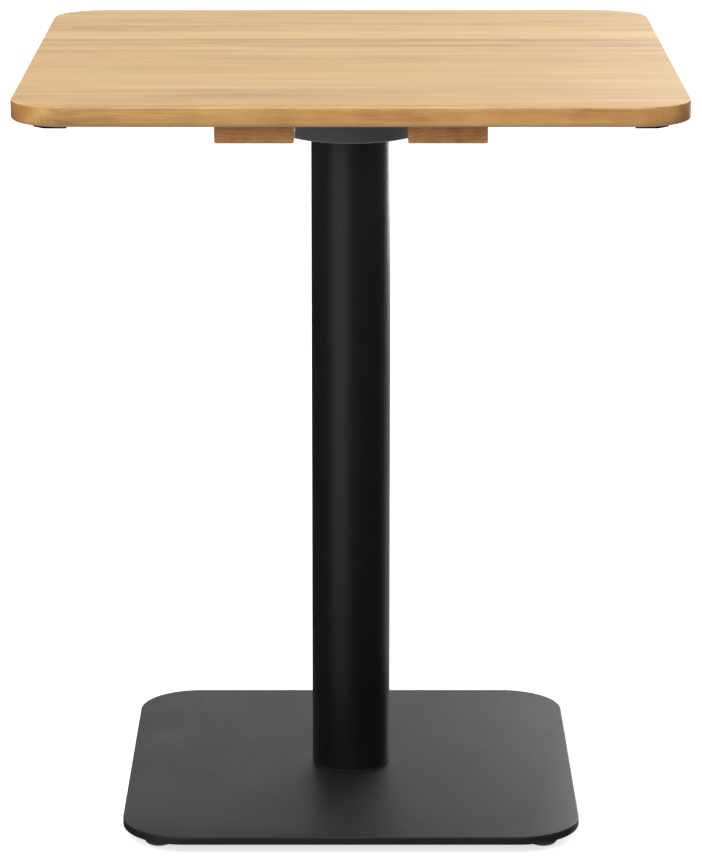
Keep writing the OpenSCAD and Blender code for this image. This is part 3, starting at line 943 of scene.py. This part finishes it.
# The two screws of a pad stand turned by different angles, in degrees.
small_head = screw_head(radius=1.5, head_r=3.0, top_z=12.0, span=3.3, slot=0.75, depth=1.3)
small = merged(*[placed(small_head, x, y, low.z, 20 + 31 * i) for i, (x, y) in enumerate(pad_screws)])
piece(
    "pad_screws", merged(*[mirrored(small, sx, sy) for sx in (-1, 1) for sy in (-1, 1)]),
    zinc_steel, "zinc_steel", "table", "corner_pad_screws",
)

low, high = box_mm("batten_screws")
BATTEN_SCREW_HEAD_R = 4.5
screw_x = high.x - BATTEN_SCREW_HEAD_R

# One row of screws in the middle of every second board, counted from the front and from the back
screw_rows = [
    sum(corner.y for corner in box_mm(f"top_board_{number}")) / 2
    for number in range(2, BOARD_COUNT)
    if (number if number <= BOARD_COUNT / 2 else BOARD_COUNT + 1 - number) % 2 == 0
]
big_head = screw_head(
    radius=2.25, head_r=BATTEN_SCREW_HEAD_R, top_z=20.0, span=5.0, slot=1.1, depth=1.9
)
piece(
    "wood_screws",
    merged(*[
        placed(big_head, side * screw_x, y, low.z, 23 * i + 11 * side)
        for i, y in enumerate(screw_rows)
        for side in (-1, 1)
    ]),
    zinc_steel, "zinc_steel", "table", "batten_screws",
)

# ---- Glides ----

low, high = box_mm("glide_bushes")
BUSH_FLANGE_R = 10.0
BUSH_FLANGE_T = 2.0
BUSH_CHAMFER = 0.5
BUSH_EASE = 0.4
THREAD_R = 4.0
bush_profile = [(THREAD_R, low.z + BUSH_CHAMFER), (THREAD_R + BUSH_CHAMFER, low.z)]
bush_profile += arc(BUSH_FLANGE_R - BUSH_EASE, low.z + BUSH_EASE, BUSH_EASE, -90, 0, 3)
bush_profile += [(BUSH_FLANGE_R, low.z + BUSH_FLANGE_T), (BUSH_R, low.z + BUSH_FLANGE_T)]
bush_profile += [(BUSH_R, high.z), (THREAD_R, high.z)]
bush = lathe(bush_profile)
piece(
    "bushes", merged(*[placed(bush, sx * GLIDE_X, sy * GLIDE_X) for sx, sy in CORNERS.values()]),
    zinc_steel, "zinc_steel", "table", "glide_bushes",
)

FOOT_R = 14.0
FOOT_FILLET = 5.0
SOLE_R = 8.0
SOLE_T = 1.4
SOLE_EASE = 0.3
STUD_AF = 13.0
STUD_CORNER_R = 0.6
STUD_PITCH = 1.25
SHANK_R = 3.95
SHANK_MINOR_R = SHANK_R - 0.65
NECK_R = 2.5
NECK_PLAY = 0.05
KNOB_R = 4.0
KNOB_CHAMFER = 0.6
KNOB_PLAY = 0.05
SHANK_CHAMFER = 0.6
FOOT_EASE = 0.3
FLANGE_EASE = 0.3

# Heights above the floor, of the stud's flange, its knob and the socket in the foot that holds the knob
FLANGE_LOW, FLANGE_HIGH = 6.3, 8.7
KNOB_LOW, KNOB_HIGH = 2.35, 5.05
FOOT_SOCKET_LOW, FOOT_SOCKET_HIGH = 2.2, 5.2


def glide_foot():
    """A round foot with a rounded lower edge, a recess for the sole and a socket for the knob."""
    neck_r, socket_r = NECK_R + NECK_PLAY, KNOB_R + KNOB_PLAY
    low_z, high_z = foot_low.z, foot_high.z
    profile = [(0, SOLE_T), (SOLE_R, SOLE_T), (SOLE_R, low_z)]
    profile += arc(FOOT_R - FOOT_FILLET, low_z + FOOT_FILLET, FOOT_FILLET, -90, 0, 12)
    profile += [(FOOT_R, high_z - FOOT_EASE), (FOOT_R - FOOT_EASE, high_z), (NECK_R + FOOT_EASE, high_z)]
    profile += [(neck_r, high_z - FOOT_EASE + NECK_PLAY), (neck_r, FOOT_SOCKET_HIGH)]
    profile += [(socket_r, FOOT_SOCKET_HIGH), (socket_r, FOOT_SOCKET_LOW), (0, FOOT_SOCKET_LOW)]
    return lathe(profile, FINE)


def glide_sole():
    """A flat disc with a rounded lower edge."""
    edge = arc(SOLE_R - SOLE_EASE, SOLE_EASE, SOLE_EASE, -90, 0, 3)
    return lathe([(0, 0)] + edge + [(SOLE_R, SOLE_T), (0, SOLE_T)])


def glide_stud():
    """A threaded shank over a hexagon flange, with a round knob that the foot holds."""
    knob = lathe([
        (0, KNOB_LOW), (KNOB_R - KNOB_CHAMFER, KNOB_LOW), (KNOB_R, KNOB_LOW + KNOB_CHAMFER),
        (KNOB_R, KNOB_HIGH), (NECK_R, KNOB_HIGH), (NECK_R, FLANGE_LOW), (0, FLANGE_LOW),
    ], SMALL)
    flange = slab(
        hexagon(STUD_AF), STUD_CORNER_R, FLANGE_LOW, FLANGE_HIGH, FLANGE_EASE, FLANGE_EASE,
        corner_steps=3, edge_steps=2,
    )
    stud_high_z = box_mm("glide_stud_back_right")[1].z
    shank = threaded_bar(SHANK_R, SHANK_MINOR_R, STUD_PITCH, FLANGE_HIGH, stud_high_z, SHANK_CHAMFER)
    return merged(knob, flange, shank)


GLIDE_PARTS = (
    ("foot", glide_foot(), black_nylon, "black_nylon", "foot"),
    ("sole", glide_sole(), grey_nylon, "grey_nylon", "foot"),
    ("stud", glide_stud(), zinc_steel, "zinc_steel", "stud"),
)
for corner, (sx, sy) in CORNERS.items():
    for part, shape, material, slot, body in GLIDE_PARTS:
        piece(
            f"{part}_{corner}", placed(shape, sx * GLIDE_X, sy * GLIDE_X),
            material, slot, f"{body}_{corner}", f"glide_{part}_{corner}",
        )

# ---- CAD nodes that keep their shape, hidden inside the table ----

for node, material in (
    ("threaded_inserts", insert_brass),
    ("collar_screws", zinc_steel),
    ("column_spigot", zinc_steel),
):
    for material_slot in TABLE_NODES[node].material_slots:
        material_slot.material = material

# ---- Floor, light and camera ----

FLOOR_HALF = 30000.0
FLOOR_COLOUR = (0.60, 0.60, 0.60, 1)
FLOOR_GLOW = 0.7
floor_points = [(x, y, 0) for x, y in rectangle(FLOOR_HALF, FLOOR_HALF)]
floor = made("floor", (floor_points, [(0, 1, 2, 3)]))
floor_surface = bpy.data.materials.new("floor")
floor_surface.use_nodes = True
floor_shader = floor_surface.node_tree.nodes["Principled BSDF"]
floor_shader.inputs["Base Color"].default_value = FLOOR_COLOUR
floor_shader.inputs["Emission Color"].default_value = (1, 1, 1, 1)
floor_shader.inputs["Emission Strength"].default_value = FLOOR_GLOW
floor_shader.inputs["Roughness"].default_value = 0.9
floor_shader.inputs["Specular IOR Level"].default_value = 0.1
floor.data.materials.append(floor_surface)

# The floor shows to the camera, but neither lights the table nor shades it.
floor.visible_diffuse = False
floor.visible_glossy = False
floor.visible_shadow = False

# The studio's brightness by the height of the direction, from straight down (0) to straight up (1)
STUDIO_TONES = [
    (0.00, 0.50),
    (0.15, 0.30),
    (0.32, 0.04),
    (0.49, 0.03),
    (0.54, 0.90),
    (0.64, 1.05),
    (0.80, 0.62),
    (1.00, 0.50),
]


def studio_world():
    """A world whose brightness follows the studio's tones."""
    world = bpy.data.worlds.new("studio")
    world.use_nodes = True
    nodes, links = world.node_tree.nodes, world.node_tree.links
    direction = nodes.new("ShaderNodeTexCoord")
    parts = nodes.new("ShaderNodeSeparateXYZ")
    height_share = nodes.new("ShaderNodeMapRange")
    height_share.inputs["From Min"].default_value = -1.0
    tones = nodes.new("ShaderNodeValToRGB")
    while len(tones.color_ramp.elements) < len(STUDIO_TONES):
        tones.color_ramp.elements.new(0.5)
    for element, (place, tone) in zip(tones.color_ramp.elements, STUDIO_TONES):
        element.position = place
        element.color = (tone, tone, tone, 1.0)
    links.new(direction.outputs["Generated"], parts.inputs[0])
    links.new(parts.outputs["Z"], height_share.inputs["Value"])
    links.new(height_share.outputs[0], tones.inputs[0])
    links.new(tones.outputs[0], nodes["Background"].inputs["Color"])
    return world


scene.world = studio_world()


def aimed(name, kind, place, target, **settings):
    """A light that faces a point, both in metres. The camera doesn't see it."""
    data = bpy.data.lights.new(name, kind)
    for key, value in settings.items():
        setattr(data, key, value)
    light = bpy.data.objects.new(name, data)
    scene.collection.objects.link(light)
    light.location = place
    light.rotation_euler = (Vector(target) - Vector(place)).to_track_quat("-Z", "Y").to_euler()
    light.visible_camera = False


def softbox(name, place, target, width, height, power):
    """A rectangular light."""
    aimed(name, "AREA", place, target, shape="RECTANGLE", size=width, size_y=height, energy=power)


aimed("front_top", "SUN", (-0.24, -1.0, 1.32), (0, 0, 0), energy=2.55, angle=math.radians(40))
softbox("key", (-1.9, -3.0, 0.3), (0, 0, 0.3), width=3.2, height=3.6, power=40)
softbox("rim_right", (2.3, 3.3, 0.0), (0, 0, 0.2), width=3.6, height=3.6, power=26)
softbox("back_right", (1.9, 4.2, 2.9), (0, 0, 0.3), width=2.6, height=2.0, power=32)
softbox("low_right", (0.8, 1.3, 0.5), (0.1, 0, 0), width=0.5, height=0.3, power=9.0)

# The place and the reach are in metres, the tilt in radians below level, the lens in millimetres
CAMERA_PLACE = (0.0, -3.4875, 1.2605)
CAMERA_TILT = 0.2531
CAMERA_LENS = 155.87
CAMERA_REACH = 200
camera_data = bpy.data.cameras.new("camera")
camera = bpy.data.objects.new("camera", camera_data)
scene.collection.objects.link(camera)
camera.location = CAMERA_PLACE
camera.rotation_euler = (math.pi / 2 - CAMERA_TILT, 0, 0)
camera_data.lens = CAMERA_LENS
camera_data.clip_end = CAMERA_REACH
scene.camera = camera

scene.view_settings.view_transform = "Standard"
